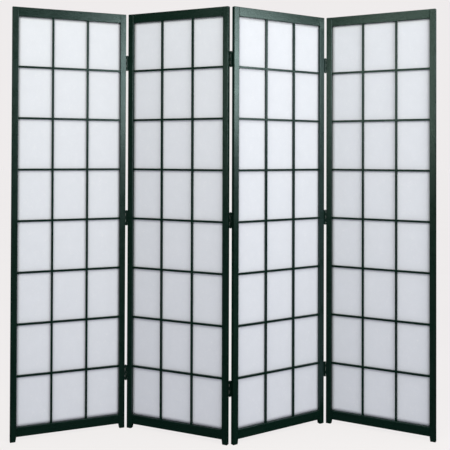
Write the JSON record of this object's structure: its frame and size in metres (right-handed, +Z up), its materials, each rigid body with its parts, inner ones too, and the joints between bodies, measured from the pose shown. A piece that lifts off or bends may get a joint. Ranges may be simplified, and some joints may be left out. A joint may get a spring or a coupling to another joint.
{
  "type": "folding room divider screen",
  "caption": "Free-standing zigzag screen of hinged wooden lattice panels backed with translucent paper, on short stile feet.",
  "frame": {"origin": "on the floor, under the middle of the standing screen's bounding box", "axes": "+Z up, the front of the screen faces -Y, +X to the right as seen from the front"},
  "size_m": [1.749, 0.2768, 1.78],
  "materials": {
    "black_wood": "black satin lacquer",
    "shoji_paper": "matte translucent fibre-reinforced paper",
    "black_steel": "black baked enamel"
  },
  "bodies": {
    "panel_1": {"panel_1_left_stile": "black_wood", "panel_1_right_stile": "black_wood", "panel_1_top_rail": "black_wood", "panel_1_bottom_rail": "black_wood", "panel_1_lattice": "black_wood", "panel_1_paper": "shoji_paper", "panel_1_paper_retainer": "black_wood", "hinge_1_top_left_leaf": "black_steel", "hinge_1_top_pin": "black_steel", "hinge_1_middle_left_leaf": "black_steel", "hinge_1_middle_pin": "black_steel", "hinge_1_bottom_left_leaf": "black_steel", "hinge_1_bottom_pin": "black_steel"},
    "panel_2": {"panel_2_left_stile": "black_wood", "panel_2_right_stile": "black_wood", "panel_2_top_rail": "black_wood", "panel_2_bottom_rail": "black_wood", "panel_2_lattice": "black_wood", "panel_2_paper": "shoji_paper", "panel_2_paper_retainer": "black_wood", "hinge_1_top_right_leaf": "black_steel", "hinge_1_middle_right_leaf": "black_steel", "hinge_1_bottom_right_leaf": "black_steel", "hinge_2_top_left_leaf": "black_steel", "hinge_2_top_pin": "black_steel", "hinge_2_middle_left_leaf": "black_steel", "hinge_2_middle_pin": "black_steel", "hinge_2_bottom_left_leaf": "black_steel", "hinge_2_bottom_pin": "black_steel"},
    "panel_3": {"panel_3_left_stile": "black_wood", "panel_3_right_stile": "black_wood", "panel_3_top_rail": "black_wood", "panel_3_bottom_rail": "black_wood", "panel_3_lattice": "black_wood", "panel_3_paper": "shoji_paper", "panel_3_paper_retainer": "black_wood", "hinge_2_top_right_leaf": "black_steel", "hinge_2_middle_right_leaf": "black_steel", "hinge_2_bottom_right_leaf": "black_steel", "hinge_3_top_left_leaf": "black_steel", "hinge_3_top_pin": "black_steel", "hinge_3_middle_left_leaf": "black_steel", "hinge_3_middle_pin": "black_steel", "hinge_3_bottom_left_leaf": "black_steel", "hinge_3_bottom_pin": "black_steel"},
    "panel_4": {"panel_4_left_stile": "black_wood", "panel_4_right_stile": "black_wood", "panel_4_top_rail": "black_wood", "panel_4_bottom_rail": "black_wood", "panel_4_lattice": "black_wood", "panel_4_paper": "shoji_paper", "panel_4_paper_retainer": "black_wood", "hinge_3_top_right_leaf": "black_steel", "hinge_3_middle_right_leaf": "black_steel", "hinge_3_bottom_right_leaf": "black_steel"}
  },
  "joints": [
    {"name": "junction_1_fold", "type": "hinge", "parent": "panel_2", "child": "panel_1", "pos_m": [-0.42326, 0.06018, 0.903], "axis": [0, 0, 1], "range_deg": [-46.9, 133.1]},
    {"name": "junction_2_fold", "type": "hinge", "parent": "panel_2", "child": "panel_3", "pos_m": [0.02523, -0.12299, 0.903], "axis": [0, 0, 1], "range_deg": [-57.8, 122.2]},
    {"name": "junction_3_fold", "type": "hinge", "parent": "panel_3", "child": "panel_4", "pos_m": [0.44215, 0.12373, 0.903], "axis": [0, 0, 1], "range_deg": [-118.9, 61.1]}
  ]
}
